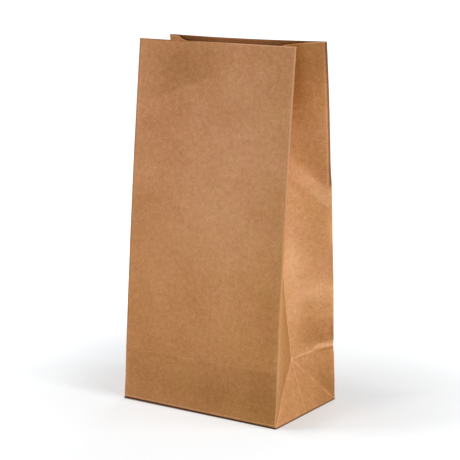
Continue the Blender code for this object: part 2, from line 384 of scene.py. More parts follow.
# %% [markdown]
# ## The paper's own unevenness
# Folded paper is never perfectly flat. A gusset that has been opened by hand keeps soft waves and a slanting
# buckle, a panel has a shallow dent, and the triangle at the foot bulges above its crease.
# A cloth simulation would crumple the sheet in places of its own choice. Here each form is a small height
# over the sheet in millimetres, so it lies where it should, and it fades out at the creases, which hold the
# paper straight.


# %% Shapes that a dent can have
def hill(x, y, middle, size, turn=0.0):
    """A soft oval rise of height 1. Its size is half its width each way, and its turn is in degrees."""
    cos, sin = math.cos(math.radians(turn)), math.sin(math.radians(turn))
    along = ((x - middle[0]) * cos + (y - middle[1]) * sin) / size[0]
    over = ((y - middle[1]) * cos - (x - middle[0]) * sin) / size[1]
    return np.exp(-(along**2 + over**2))


def valley(over, below, above, softness):
    """A pressed line of depth 1 at over = 0, whose two slopes reach this far below and above it."""
    away = np.sqrt(over**2 + softness**2) - softness
    return -np.exp(-away / np.where(over < 0, below, above))


def wave(value, length, start):
    return np.sin(2 * math.pi * (value - start) / length)


print(f"a hill is {hill(0, 0, (0, 0), (1, 1)):.0f} high in its middle")

# %% The front and back panels
PRESSED_UP, PRESSED_SLOPE = 36, 0.02  # the front's pressed level at its left crease, and how it rises
DENT_UP, DENT_SLOPE = 211.5, 0.4  # the same for the line where the front's dent turns


def front_relief(x, up):
    """Height over the front panel, in mm. X runs from its left corner crease, up from the base."""
    pressed = PRESSED_UP + 1.6 * wave(x, 62, 10) + PRESSED_SLOPE * x
    kick = 0.5 + 1.2 * rising(x, 20, 110)
    foot = kick * np.where(up < pressed, rising(up + 40 - pressed, 4, 44), fading(up, pressed, 190))
    line = 0.12 * valley(up - pressed, 2.2, 1.2, 0.4)
    dent_line = DENT_UP + DENT_SLOPE * x
    dent = 1.1 * valley(up - dent_line, 45, 17, 1.5) * fading(x, 45, 85) * rising(x, 2, 14)
    belly = 0.8 * hill(x, up, (70, 130), (42, 70))
    return foot + line + dent * fading(up, 245, 262) + belly


def back_relief(x, up):
    """The same for the back panel, where the seam stiffens one side."""
    pressed = 40 + 1.2 * wave(x, 75, 30)
    line = 0.3 * valley(up - pressed, 5, 2, 0.4)
    hollow = -1.0 * hill(x, up, (60, 120), (40, 60), 15)
    return line + hollow


print(f"the front's pressed level starts {PRESSED_UP} mm up, and its dent's line {DENT_UP} mm up")

# %% The gussets
GUSSET_WIDE = round(DEPTH / MM)
HALF_GUSSET = GUSSET_WIDE / 2
BUCKLES = {LEFT: (120, 0.7), RIGHT: (157, 1.0)}  # the buckle's height at the back crease, and its strength
BUCKLE_SLOPE = 1.1  # for each mm up, the buckle's line goes this far towards the front
BUCKLE_SCALE = 1.487  # turns the sum for that line into a distance


def past_buckle(across, up, buckle):
    """How far above the buckle's slanting line a place is. It takes arrays, and later sockets too."""
    return (across + BUCKLE_SLOPE * (up - buckle) - GUSSET_WIDE) / BUCKLE_SCALE


def gusset_relief(across, up, buckle, strength):
    """Height over a gusset, in mm."""
    from_fold = abs(across - HALF_GUSSET)
    from_back = GUSSET_WIDE - across
    slant = past_buckle(across, up, buckle)
    at_mouth = rising(up, 228, 262)
    below = fading(slant, -16, -3)
    swell = np.sin(math.pi * np.minimum(from_fold / HALF_GUSSET, 1))
    bowing = 3.2 * swell * rising(slant, 2, 42) * (1 - at_mouth)
    turned_in = 2.6 * np.clip(from_fold / 14, 0, 1) * np.clip(from_back / 14, 0, 1) * at_mouth
    crushed = 2.1 * valley(slant, 10, 16, 0.4) * rising(from_fold, 2, 22) * fading(across, 68, 79)
    ripple = 0.9 * wave(up + 0.2 * from_fold, 50, 70) * rising(from_fold, 4, 26) * below
    trough = 1.3 * hill(across, up, (51, 90), (8, 42)) * below
    lip = -0.8 * valley(up - LIP / MM, 12, 2.0, 0.4) * rising(from_fold, 10, 26)
    pinch = 1.3 * hill(across, up, (76, 55), (13, 8), -10)
    rear = bowing + crushed + ripple - trough + lip - pinch - turned_in
    front = 0.5 * bowing + 0.4 * ripple - 0.8 * hill(across, up, (21, 20), (11, 13))
    return strength * np.where(across > HALF_GUSSET, rear, front)


def unevenness(girth, length):
    """Height above the even surface, outwards, in metres. At the creases it is zero."""
    g, up = girth / MM, length / MM
    left_front, right_front, right_back = LEFT_FRONT / MM, RIGHT_FRONT / MM, RIGHT_BACK / MM
    back_x = np.where(g > right_back, g - right_back, g + (GIRTH - RIGHT_BACK) / MM)
    back = back_relief(back_x, up)
    left = gusset_relief(left_front - g, up, *BUCKLES[LEFT])
    front = front_relief(g - left_front, up)
    right = gusset_relief(g - right_front, up, *BUCKLES[RIGHT])
    height = np.select([g < corner / MM for corner in CORNERS], [back, left, front, right], back)
    nearest = np.min([abs(girth - line) for line in (*CORNERS, *GUSSETS)], axis=0) / MM
    held = rising(nearest, 0, 3) * rising(up, 0, 5)
    return height * held * MM


sample = unevenness(np.linspace(0, GIRTH, 400)[:, None], np.linspace(0, PANEL_LENGTH, 200)[None, :])
print(f"the paper stands {sample.min() / MM:.1f} to {sample.max() / MM:.1f} mm off the even surface")

# %% [markdown]
# ## Small faults of the cut and the creases
# No bag is cut and creased exactly. The mouth is a hair out of square, its edge dips beside the tucked
# creases, and three corner creases wander by up to about a millimetre on their way down.
# Sculpting these by hand couldn't be repeated, so each is a shift of the paper close beside it.

# %% The mouth's edge and the corner creases
MOUTH_REACH = 20 * MM  # the faults of the mouth's edge fade out over this length
# For each: how much higher the edge is, and where along the girth that sets in and goes away.
MOUTH_FAULTS = (
    (0.4 * MM, (LEFT_FRONT - 30 * MM, LEFT_FRONT), (LEFT_FRONT + 60 * MM, RIGHT_FRONT)),
    (-1.2 * MM, (LEFT_BACK + 12 * MM, LEFT_BACK + 18 * MM), (GUSSETS[0], LEFT_FRONT)),
    (-1.2 * MM, (RIGHT_FRONT, GUSSETS[1]), (RIGHT_BACK - 34 * MM, RIGHT_BACK - 28 * MM)),
)
# For a corner crease: how far beside it the paper follows, then how far it stands to the right of its
# place at each height, all in mm.
CREASE_FAULTS = {
    LEFT_FRONT: (30, ((0, -0.25), (20, 0.35), (45, 0.6), (90, 0.3), (130, 0.1), (180, 0))),
    RIGHT_FRONT: (20, ((0, 0), (22, 0.95), (45, 1.2), (90, 0.55), (130, 0.3), (180, 0))),
    RIGHT_BACK: (30, ((0, 0.25), (14, 0.45), (33, 0.4), (40.6, -0.15), (47.5, 0.45), (90, 0.8),
                      (130, 0.35), (180, 0))),
}


def eased(value, points):
    """Goes softly from one point to the next. A point is a value and the result there."""
    total = points[0][1]
    for (start, first), (end, last) in zip(points, points[1:]):
        total = total + (last - first) * rising(value, start, end)
    return total


def raised(girth, length):
    """How much higher the paper stands for the mouth's faults."""
    edge = sum(more * (rising(girth, *rise) * fading(girth, *fall)) for more, rise, fall in MOUTH_FAULTS)
    return edge * rising(length, PANEL_LENGTH - MOUTH_REACH, PANEL_LENGTH)


def shifted(girth, length):
    """How far to the right it stands for the creases' faults."""
    return sum(
        eased(length / MM, points) * fading(abs(girth - corner), 0, beside * MM) * MM
        for corner, (beside, points) in CREASE_FAULTS.items()
    )


print(f"{len(MOUTH_FAULTS)} faults at the mouth's edge, and {len(CREASE_FAULTS)} creases that wander")

# %% [markdown]
# ## Folding the sheet
# Now the flat mesh is folded: every vertex gets its rounded place and the faults, then the small height of
# the dents is added along the surface's own direction. The last edge of the sheet climbs over the first by
# one layer, which makes the glued lap up the back. Solidify gives the paper its thickness, inwards, because
# the sums above are for its outer face.

# %% Folding
FLAP_INSET = 0.5e-6  # keeps the edges of a flap on their own panel, in metres
flat = np.array([vertex.co[:] for vertex in sheet.verts])
panel_layer = sheet.verts.layers.int["panel"]
panel_of = np.array([vertex[panel_layer] for vertex in sheet.verts])
girth, length = flat[:, 0].copy(), flat[:, 1].copy()
for panel, (start, end, _) in enumerate(UNDER, WALL + 1):
    here = (panel_of == panel) & (length < -TINY)
    girth[here] = np.clip(girth[here], start + FLAP_INSET, end - FLAP_INSET)
place = rounded(girth, length)
place[:, 2] += raised(girth, length)
place[:, 0] += shifted(girth, length)
sheet_layer = sheet.verts.layers.float_vector.new("sheet")
for vertex, spot, x, y in zip(sheet.verts, place, girth, length):
    vertex.co = spot
    vertex[sheet_layer] = (x, y, 0)
print(f"folded: highest {place[:, 2].max() / MM:.1f} mm")

# %% Dents and the glued lap
sheet.normal_update()
front_face = max(sheet.faces, key=lambda face: -face.calc_center_median().y + face.calc_center_median().z)
if front_face.normal.y > 0:
    bmesh.ops.reverse_faces(sheet, faces=sheet.faces[:])
    sheet.normal_update()
climbing = rising(girth, GIRTH - SEAM_RAMP, GIRTH) * (panel_of == WALL)
for vertex, height in zip(sheet.verts, unevenness(girth, length) + PAPER * climbing):
    vertex.co += vertex.normal * height
bmesh.ops.remove_doubles(sheet, verts=sheet.verts[:], dist=NEARBY)
print(f"dented: {len(sheet.verts)} vertices, highest {max(v.co.z for v in sheet.verts) / MM:.1f} mm")


# %% The bag object
def placed(name, data):
    """An object for this mesh, lamp or camera."""
    made = bpy.data.objects.new(name, data)
    bpy.context.scene.collection.objects.link(made)
    return made


bag_mesh = bpy.data.meshes.new("kraft_paper_bag")
sheet.to_mesh(bag_mesh)
sheet.free()
bag = placed("kraft_paper_bag", bag_mesh)
bag_mesh.shade_smooth()
thickness = bag.modifiers.new("paper_thickness", "SOLIDIFY")
thickness.thickness = PAPER
thickness.offset = -1
thickness.material_offset = 1
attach(bag, "root")
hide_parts("paper_bag")
print(f"{bag.name}: {len(bag_mesh.polygons)} faces before its thickness")

# %% [markdown]
# ## Writing a finish as sums
# A finish is a tree of nodes. Wiring each by hand is slow to read, so one small class wraps a socket:
# adding or multiplying two of them adds the Math node that does it. Any other node comes from one method.


# %% A socket that understands arithmetic
def math_node(operation, reflected=False):
    """A method that adds a Math node. Reflected, its socket comes last, so that 1 - mask works."""

    def method(wire, *others):
        terms = (*others, wire) if reflected else (wire, *others)
        return wire.finish.node("ShaderNodeMath", {"operation": operation}, dict(enumerate(terms)))

    return method


class Wire:
    def __init__(self, finish, socket):
        self.finish = finish
        self.socket = socket

    __add__ = __radd__ = math_node("ADD")
    __mul__ = __rmul__ = math_node("MULTIPLY")
    __sub__, __rsub__ = math_node("SUBTRACT"), math_node("SUBTRACT", reflected=True)
    __truediv__, __abs__ = math_node("DIVIDE"), math_node("ABSOLUTE")
    least, most = math_node("MINIMUM"), math_node("MAXIMUM")

    def ramp(self, start, end, first=0.0, last=1.0):
        """Runs smoothly from first to last while this value goes from start to end."""
        settings = {"interpolation_type": "SMOOTHSTEP"}
        sockets = {"Value": self, "From Min": start, "From Max": end, "To Min": first, "To Max": last}
        return self.finish.node("ShaderNodeMapRange", settings, sockets)

    def fall(self, start, end):
        return self.ramp(start, end, 1, 0)


print("a sum of Wires adds Math nodes")


# %% A finish, which adds any other node
class Finish:
    """The nodes of a material or a world, and the methods that add to them."""

    def __init__(self, owner, shader="Principled BSDF"):
        owner.use_nodes = True
        self.owner = owner
        self.tree = owner.node_tree
        self.shader = self.tree.nodes[shader]

    def plug(self, node, name, value):
        named = [entry for entry in node.inputs if name in (entry.identifier, entry.name) and entry.enabled]
        socket = node.inputs[name] if isinstance(name, int) else named[0]
        if isinstance(value, Wire):
            self.tree.links.new(value.socket, socket)
        else:
            socket.default_value = value

    def feed(self, name, value):
        self.plug(self.shader, name, value)

    def node(self, kind, settings, sockets, output=0):
        """Adds a node of this type: its settings first, then the values or Wires of its sockets."""
        made = self.tree.nodes.new(kind)
        for name, value in settings.items():
            if name == "stops":
                for where, _ in value[1:-1]:
                    made.color_ramp.elements.new(where)
                for stop, (where, colour) in zip(made.color_ramp.elements, value):
                    stop.position, stop.color = where, colour
            else:
                setattr(made, name, value)
        for name, value in sockets.items():
            self.plug(made, name, value)
        shown = [socket for socket in made.outputs if socket.enabled]
        return Wire(self, made.outputs[output] if isinstance(output, str) else shown[output])

    def noise(self, place, sizes, detail, turn=0.0):
        """Noise from 0 to 1 whose spots have these sizes. Unequal sizes make streaks, which can be turned."""
        sockets = {"Vector": place, "Rotation": (0, 0, turn), "Scale": [1 / size for size in sizes]}
        scaled = self.node("ShaderNodeMapping", {"vector_type": "POINT"}, sockets)
        return self.node("ShaderNodeTexNoise", {}, {"Vector": scaled, "Scale": 1, "Detail": detail})

    def mixed(self, share, first, second, blend="MIX"):
        settings = {"data_type": "RGBA", "blend_type": blend}
        sockets = {"Factor_Float": share, "A_Color": first, "B_Color": second}
        return self.node("ShaderNodeMix", settings, sockets)


def seen_directly(finish):
    """1 for what the eye sees, straight or in a reflection, and 0 for light that bounces on."""
    outputs = ("Is Camera Ray", "Is Glossy Ray", "Is Transmission Ray")
    return reduce(Wire.most, (finish.node("ShaderNodeLightPath", {}, {}, output) for output in outputs))


print("a Finish adds any other node")

# %% [markdown]
# ## Kraft paper: tone and hue
# Unbleached kraft is brown because the pulp keeps its lignin. Its colour moves along one line, from a dark,
# strong brown where the sheet is dense or where shade is painted, to a pale, dull one where it is rubbed or
# where light is painted. So the finish works out one number, the tone, and a ramp turns it into colour.
# A second number shifts the hue a little between pinkish and olive, because no two patches of pulp are alike.
# An image would be the usual way, but noise on the flat sheet needs no file and has no seam.
# Every size below is in millimetres on the sheet.

# %% Cloud, formation, grain and fibres
GRAIN, FORMATION, CLOUD, BLOOM = 1.1, 3.4, 17, 60  # sizes of the spots in the pulp, finest first
FIBRE_LONG = 14  # a fibre is this many times longer than wide


def sheet_numbers(finish):
    """The place on the flat sheet in mm, then its girth and its length."""
    flat_place = finish.node("ShaderNodeAttribute", {"attribute_name": "sheet"}, {}, "Vector")
    sockets = {"Vector": flat_place, "Scale": 1 / MM}
    place = finish.node("ShaderNodeVectorMath", {"operation": "SCALE"}, sockets)
    numbers = [finish.node("ShaderNodeSeparateXYZ", {}, {"Vector": place}, axis) for axis in "XY"]
    return place, *numbers


kraft = Finish(bpy.data.materials.new("kraft_paper_outside"))
sheet_mm, round_mm, up_mm = sheet_numbers(kraft)


def speckle(size, detail=1.0, tall=1.0):
    """Noise around 0 whose spots are about this size, and this much taller than wide."""
    return kraft.noise(sheet_mm, (size, size * tall, size), detail) - 0.5


def fibres(size, turn, count):
    """Thin fibres lying one way: 0 on most of the paper, 1 on a fibre. Count is from 0 to 1."""
    lines = kraft.noise(sheet_mm, (size, size * FIBRE_LONG, size), 1.5, math.radians(turn))
    return lines.ramp(0.70 - 0.12 * count, 0.76 - 0.12 * count)


grain = speckle(GRAIN, 2, 1.25)
formation = speckle(FORMATION, 2, 1.15)
pale_fibres = fibres(0.26, 12, 0.5) + fibres(0.24, -38, 0.4) + fibres(0.3, 71, 0.4)
dark_fibres = fibres(0.22, 30, 0.3) + fibres(0.24, -66, 0.3)
even_tone = 0.5 + grain * 0.52 + formation * 0.4 + speckle(CLOUD, 2) * 0.24 + speckle(BLOOM) * 0.4
tone = even_tone + pale_fibres * 0.05 - dark_fibres * 0.06
hue_noise = 0.5 + speckle(2.4, 3) * 2.0 + speckle(22, 2) * 2.2
print(f"noise on the sheet: grain {GRAIN} mm, formation {FORMATION} mm, cloud {CLOUD} mm, bloom {BLOOM} mm")

# %% [markdown]
# ## Kraft paper: folds, edges and seams
# Where the paper is creased the fibres stand up and the surface is rubbed, so a fold shows as a thin pale
# line that comes and goes. The bag keeps every fold that it was ever given: its corners, the gussets'
# middles, the 45 degree folds at their feet, and the level where the bottom was pressed flat against it.
# Their distances are sums on the sheet's two numbers, so each line follows its fold in the mesh exactly.
# Beside the wear, the front's right corner gets a painted highlight, and painted shade goes on its left
# corner, along the base and on the back corners' soft upper part.


# %% Distances to the folds
def crease_line(distance, width):
    return distance.fall(0, width)


def past(value, line, soft):
    return value.ramp(line - soft, line + soft)


def within(value, start, end, soft):
    """1 from start to end, with edges this soft."""
    return past(value, start, soft) * (1 - past(value, end, soft))


FRONT_MIDDLE = (LEFT_FRONT + RIGHT_FRONT) / 2 / MM
across = abs(round_mm - FRONT_MIDDLE) - HALF_WIDTH / MM  # below 0 on the front, 0 to 80 on a gusset
from_middle = abs(across - HALF_GUSSET)
from_corner = abs(from_middle - HALF_GUSSET)
on_gusset = 1 - past(from_middle, HALF_GUSSET, 0.3)
back_half = on_gusset * past(across, HALF_GUSSET, 0.3)
right_side = past(round_mm, FRONT_MIDDLE, 1)
from_diagonal = abs(HALF_GUSSET - from_middle - up_mm) * math.sqrt(0.5)
over_level = up_mm - HALF_GUSSET - 1.6 * within(from_middle, 12, 32, 9)
in_foot = 1 - past(up_mm, HALF_GUSSET, 0.5)
print(f"the front's middle is at girth {FRONT_MIDDLE:.0f} mm")

# %% Wear along the folds, with painted light and shade at some edges
MOUTH_UP = PANEL_LENGTH / MM
broken = speckle(5, 3).ramp(-0.14, 0.1, 0.7, 1)
soft_corner = across.ramp(GUSSET_WIDE - 6, GUSSET_WIDE - 4) * up_mm.ramp(156, 160)
# The front's right corner: a pale line of wear and a painted highlight, where the rounded corner catches
# light.
front_corner_wear_and_highlight = across.ramp(-1.3, -0.9) * across.fall(-0.3, 0.2) * right_side
back_line = crease_line(abs(across - GUSSET_WIDE), 1.1)
back_corner = back_line * (1 - soft_corner) * up_mm.ramp(36, 44, 0.25, 0.65)
roll_rub = within(across, 76.4, 77.4, 0.4) * soft_corner * 0.2
middle_line = crease_line(from_middle, 0.7 + 0.4 * in_foot)
middle_wear = middle_line * up_mm.ramp(90, 150, 0.6, 0.3) * (1 - 0.6 * in_foot)
rear_fold = across.ramp(42, 54, 0.36, 0.1) + across.ramp(62, 72, 0, 0.2)
rear = past(across, HALF_GUSSET, 2)
foot_fold = rear * rear_fold + across.ramp(8, 38, 0.35, 0.12) * (1 - rear)
foot_wear = crease_line(from_diagonal, 1.1) * in_foot * on_gusset * foot_fold
level_wear = crease_line(abs(over_level), 0.8) * back_half * across.ramp(56, 63, 0.42, 0.1)
base_wear = within(up_mm, 1.4, 2.4, 0.4) * (0.38 - 0.33 * on_gusset)
fold_lines = (front_corner_wear_and_highlight, back_corner, roll_rub, middle_wear, foot_wear, level_wear, base_wear)
fold_wear_and_highlight = reduce(Wire.most, fold_lines) * broken
halo = crease_line(from_corner.least(from_diagonal + 40 * (1 - in_foot * on_gusset)), 6) * 0.06
mouth_wear = up_mm.ramp(MOUTH_UP - 1.2, MOUTH_UP - 0.6)
# Painted shade along the front's left corner, which turns away from the light.
left_edge_shade = within(across, -1.6, 0.6, 0.3) * (1 - right_side) * up_mm.ramp(20, 70) * 0.24
edge_and_fold_tone = tone + fold_wear_and_highlight * 0.9 + halo + mouth_wear * 0.4 - left_edge_shade
# Painted shade along the foot of the walls, where the paper turns under at the base.
base_shade = within(up_mm, -0.7, 0.95 - 0.3 * on_gusset, 0.2) * (1 - 0.4 * on_gusset)
# Painted shade on the back corners' soft upper part, where the paper rolls away from the light.
roll_edge = within(across, 76.5 + 1.4 * right_side, 80.6, 0.35)
roll_shade = soft_corner * roll_edge * (0.15 + 0.45 * right_side)
print(f"wear runs along {len(fold_lines)} kinds of fold and along the mouth's edge")

# %% [markdown]
# ## Kraft paper: painted light and shade
# These soft patches are painted shade and painted light, which stand in for the way light falls on the
# paper's dents and folds. The dent at the front's top corner is darker, so is the strip that was pressed flat
# against the bottom, and a gusset is darkest where it is tucked away and palest where its buckle and its lip
# face the light. Drawing them would need an image, so each patch is an oval or a band on the sheet.
# The two gussets mirror each other, but buckle at their own heights.


# %% Soft ovals
def patch(x, middle, size, turn=0.0):
    """1 in the middle of a soft oval, and 0 outside it. Its size is half its width each way."""
    place = kraft.node("ShaderNodeCombineXYZ", {}, {"X": x - middle[0], "Y": up_mm - middle[1]})
    sockets = {"Vector": place, "Angle": math.radians(-turn)}
    oval = kraft.node("ShaderNodeVectorRotate", {"rotation_type": "Z_AXIS"}, sockets)
    scaled = kraft.node("ShaderNodeVectorMath", {"operation": "DIVIDE"}, {0: oval, 1: (*size, 1)})
    return kraft.node("ShaderNodeVectorMath", {"operation": "LENGTH"}, {0: scaled}, "Value").fall(0, 1)


def patches(x, table):
    """The sum of soft ovals: middle, size, and strength, which is below 0 for a shade."""
    return sum(patch(x, middle, size) * strength for middle, size, strength in table.values())


# Painted light where the strength is above 0, and painted shade where it is below.
FRONT_PATCHES = {
    "painted light in the middle": ((76, 136), (76, 110), 0.17),
    "painted light at the right": ((116, 158), (26, 36), 0.05),
    "shade at the right": ((125, 92), (24, 46), -0.07),
    "shade at the left": ((6, 98), (28, 75), -0.04),
    "shade low at the right": ((124, 46), (24, 24), -0.09),
}
# Painted light where the strength is above 0, and painted shade where it is below.
GUSSET_PATCHES = {
    "painted light along the middle crease": ((47, 104), (22, 74), 0.34),
    "painted light across the back half": ((65, 84), (22, 12), 0.24),
    "painted light under the pressed level": ((52, 36.5), (11, 6), 0.16),
    "shade over the pressed level": ((54, 48), (17, 9), -0.13),
}
print(f"{len(FRONT_PATCHES)} patches on the front and {len(GUSSET_PATCHES)} on each gusset")

# %% The front's tone
front_x = round_mm - LEFT_FRONT / MM
on_front = 1 - past(across, 0, 0.4)
# Painted shade under the dent's line, on the strip below the pressed level and near the mouth, where the
# mouth edge's pale line is also taken back on the left. A thin darker line runs along the pressed level.
over_dent = up_mm - DENT_SLOPE * front_x - DENT_UP
dent_shade = patch(front_x, (38, 238), (54, 38), 20) * over_dent.ramp(-1.5, 2.5) * 0.18
over_pressed = up_mm - (PRESSED_UP + PRESSED_SLOPE * front_x)
below_pressed = over_pressed.ramp(-1.5, 1.0, 0.55, 0) + over_pressed.ramp(-18, 0, 0.45, 0)
near_base = up_mm.ramp(2, 18, front_x.ramp(85, 125, 0.4, 0.85), 1)
strip_shade = below_pressed * near_base * front_x.ramp(20, 125, 0.36, 1.15) * 0.22
press_line = within(over_pressed, -0.7, 0.4, 0.4) * 0.06
mouth_shade = up_mm.ramp(222, 258) * 0.1 + mouth_wear * front_x.ramp(30, 95, 0.65, 0)
front_shade = dent_shade + strip_shade + press_line + mouth_shade
front_tone = 0.07 + patches(front_x, FRONT_PATCHES) - front_shade
lap_tone = past(round_mm, GIRTH / MM, 0.4) * (speckle(9, 2) * 0.5 - 0.07)
print("the front is paler in its middle and darker at its foot")

# %% The gussets' tone above the foot
left_buckle, right_buckle = BUCKLES[LEFT][0], BUCKLES[RIGHT][0]
over_buckle = past_buckle(across, up_mm, left_buckle + (right_buckle - left_buckle) * right_side)
behind = across.ramp(30, 44)
# Painted shade at the top of a gusset, where it is tucked in out of the light, with more on the left gusset.
unrolled = from_middle.ramp(17, 28) * up_mm.ramp(226, 254) * 0.14
tucked = behind * (from_middle.ramp(15, 25, 1.55, 0.88) * up_mm.ramp(196, 248) * 0.3 - unrolled)
far_tucked_shade = behind * (1 - right_side) * up_mm.ramp(225, 258) * 0.2
# Painted shade just above the buckle's slanting line, and a painted highlight just below it.
buckle_top = over_buckle.ramp(-5, 1.5) * over_buckle.ramp(3, 40, 1, 0.2)
buckle_shade = behind * buckle_top * across.ramp(62, 78, 0.06, 0.01)
buckle_highlight = behind * within(over_buckle, -13, -3, 2) * across.ramp(52, 74, 0.1, 0.26)
# Painted shade over the pinch near the back crease.
pinch_shade = patch(across, (64, 54), (25, 15), -8) * (0.14 + 0.2 * right_side)
# Painted shade on a gusset's front half, which lies in the front panel's shade.
beside_base = past(up_mm + from_middle, HALF_GUSSET, 0.5)
front_strip_shade = (1 - past(across, HALF_GUSSET, 1)) * beside_base * from_middle.ramp(0, 24, 0.34, 0.22)
upper_shade = tucked + far_tucked_shade + buckle_shade + pinch_shade + front_strip_shade
print(f"buckles meet the back creases {left_buckle} mm up on the left and {right_buckle} mm on the right")

# %% The gussets' tone at the lip and the foot
LIP_LINE, LIP_SLOPE = 42.3, 0.065  # how high the lip's lower edge is seen, and how it falls to the back
over_lip = up_mm - LIP_LINE + LIP_SLOPE * (across - 62)
lip_top = across.ramp(59, 66, 0.1, 3.3) - across.ramp(66, 79, 0, 2.1)
# A painted highlight on the lip, which faces up, and painted shade above and below it.
lip_highlight = within(over_lip, 0.1, lip_top, 0.4) * across.ramp(59, 63) * on_gusset * 0.27
over_lip_shade = within(over_lip, 3.4, 9.5, 1.2) * across.ramp(62, 72) * 0.21
under_lip_shade = within(over_lip, -2.4, -0.5, 0.5) * across.ramp(58, 66) * 0.3
# A painted highlight at the gusset's apex.
apex_highlight = patch(from_middle, (0, HALF_GUSSET), (3, 2.2)) * 0.4
# Painted shade on the gusset's foot, most towards its back.
foot_shade = in_foot * (up_mm.ramp(8, 34, 1, 0.3) * across.ramp(50, 76, 0.0, 0.22) + 0.02 + 0.13 * behind)
gusset_shade = upper_shade + over_lip_shade + under_lip_shade + foot_shade
gusset_tone = patches(across, GUSSET_PATCHES) + buckle_highlight + lip_highlight + apex_highlight - gusset_shade
placed_tone = edge_and_fold_tone + lap_tone + on_front * front_tone + on_gusset * gusset_tone
print("the gussets are darker inside and pale along the lip")

# %% Bark specks
SPECK_CELL = 13  # at most one speck in a cell of about this size
speck_sockets = {"Vector": sheet_mm, "Scale": 1 / SPECK_CELL}
from_speck, chance = (
    kraft.node("ShaderNodeTexVoronoi", {"feature": "F1"}, speck_sockets, output)
    for output in ("Distance", "Color")
)
rare = kraft.node("ShaderNodeSeparateXYZ", {}, {"Vector": chance}, "X").ramp(0.62, 0.64)
specks = from_speck.fall(0.022, 0.04) * rare * 0.6
print(f"specks of bark in about a third of the cells of {SPECK_CELL} mm")

# %% Colour of the paper
DEEP = (0.34, 0.138, 0.034, 1)
DENSE_AND_SHADED = (0.455, 0.199, 0.064, 1)
EVEN = (0.59, 0.277, 0.109, 1)
RUBBED_AND_LIT = (0.83, 0.45, 0.243, 1)
PINKISH, OLIVE = (1.0, 0.94, 1.0, 1), (0.985, 1.0, 0.92, 1)
# The last two tint the painted shade in a tucked gusset golden, and give the painted shade at the base and on
# the soft back corners its dark brown.
WARMER, GOLDEN, PAINTED_SHADE_BROWN = (1.0, 0.97, 0.76, 1), (1.0, 0.97, 0.68, 1), (0.09, 0.03, 0.012, 1)
brown_stops = ((0.0, DEEP), (0.25, DENSE_AND_SHADED), (0.5, EVEN), (1.0, RUBBED_AND_LIT))
brown = kraft.node("ShaderNodeValToRGB", {"stops": brown_stops}, {"Fac": placed_tone - specks})
pinker = on_front * (0.15 + front_x.ramp(35, 125, 0.5, 0) * up_mm.ramp(190, 240, 1, 0.4) - 0.5 * in_foot)
# On a gusset the hue leans to olive near its top and in the painted shade on its front half.
hue = hue_noise + pinker - on_gusset * (up_mm.ramp(150, 200, 0.35, 0) + front_strip_shade * 2)
warm = on_front * up_mm.fall(60, 240) * up_mm.ramp(34, 46, 0.7, 1)
hued = kraft.mixed(1.0, brown, kraft.mixed(hue, OLIVE, PINKISH), "MULTIPLY")
warmed = kraft.mixed(warm, hued, WARMER, "MULTIPLY")
# The painted shade where a gusset is tucked in is tinted golden.
golden = kraft.mixed(on_gusset * tucked * across.ramp(56, 74, 2.4, 1.0), warmed, GOLDEN, "MULTIPLY")
# Then the painted shade at the base and on the soft back corners is mixed in.
kraft.feed("Base Color", kraft.mixed(base_shade.most(roll_shade), golden, PAINTED_SHADE_BROWN))
print(f"the brown runs from {DEEP[:3]} to {RUBBED_AND_LIT[:3]}")

# %% Gloss and relief of the paper
ROUGHNESS = 0.76
BUMP_STRENGTH, BUMP_DISTANCE = 0.35, 0.06 * MM
kraft.feed("Roughness", ROUGHNESS - grain * 0.25 + fold_wear_and_highlight * 0.1)
kraft.feed("Specular IOR Level", 0.3)
pulp_height = grain * 0.8 + formation * 0.6 + pale_fibres * 0.12 - dark_fibres * 0.1
bump_sockets = {"Strength": BUMP_STRENGTH, "Distance": BUMP_DISTANCE, "Height": pulp_height}
kraft.feed("Normal", kraft.node("ShaderNodeBump", {}, bump_sockets))
bag_mesh.materials.append(kraft.owner)
print(f"{kraft.owner.name}: {len(kraft.tree.nodes)} nodes")

# %% [markdown]
# ## The inside of the paper
# Bag paper is glazed on one side only, and that side goes outwards. The inside is the duller one.
# It has the same fibres and folds, so it is a copy of the outside's nodes with its colour held down by
# painted shade. Little light gets in beside the tucked gussets, so the painted shade is darkest in the back's
# two corners, and a darker line of painted shade runs a few millimetres under the back's mouth edge.
# Deeper down it is only a little darker.
# Solidify gives its inner face the material after the outer one.

# %% The inside
felt = Finish(kraft.owner.copy())
felt.owner.name = "kraft_paper_inside"
# All of these are painted shade: slight deep down, more near the mouth, most in the back's corners, and in a
# line under the back's mouth edge, darkest near the corners.
FELT_DEEP, FELT_SHADE, FELT_CORNER = (1.0, 0.96, 0.9, 1), (0.8, 0.68, 0.5, 1), (0.42, 0.3, 0.16, 1)
FELT_LINE_SHADE, FELT_PIT_SHADE = (0.72, 0.6, 0.48, 1), (0.4, 0.3, 0.2, 1)
felt_round, felt_up = sheet_numbers(felt)[1:]
felt_across = abs(felt_round - FRONT_MIDDLE) - HALF_WIDTH / MM
from_back_corner = (felt_across - GUSSET_WIDE).least((DEPTH + WIDTH) / MM - felt_across)
rim_shade = felt.mixed(from_back_corner.ramp(15, 60), FELT_CORNER, FELT_SHADE)
felt_line = within(felt_up, 251, 256.6, 0.9) * from_back_corner.ramp(-1, 1)
line_shade = felt.mixed(felt_line, rim_shade, FELT_LINE_SHADE, "MULTIPLY")
pit_shade = felt.mixed(felt_line * from_back_corner.fall(17, 28), line_shade, FELT_PIT_SHADE, "MULTIPLY")
felt_shade = felt.mixed(felt_up.ramp(225, 250), FELT_DEEP, pit_shade)
outer_colour = Wire(felt, felt.shader.inputs["Base Color"].links[0].from_socket)
felt.feed("Base Color", felt.mixed(1.0, outer_colour, felt_shade, "MULTIPLY"))
bag_mesh.materials.append(felt.owner)
print(f"{felt.owner.name}: near the mouth, red is held down to {FELT_SHADE[0]:.0%}")

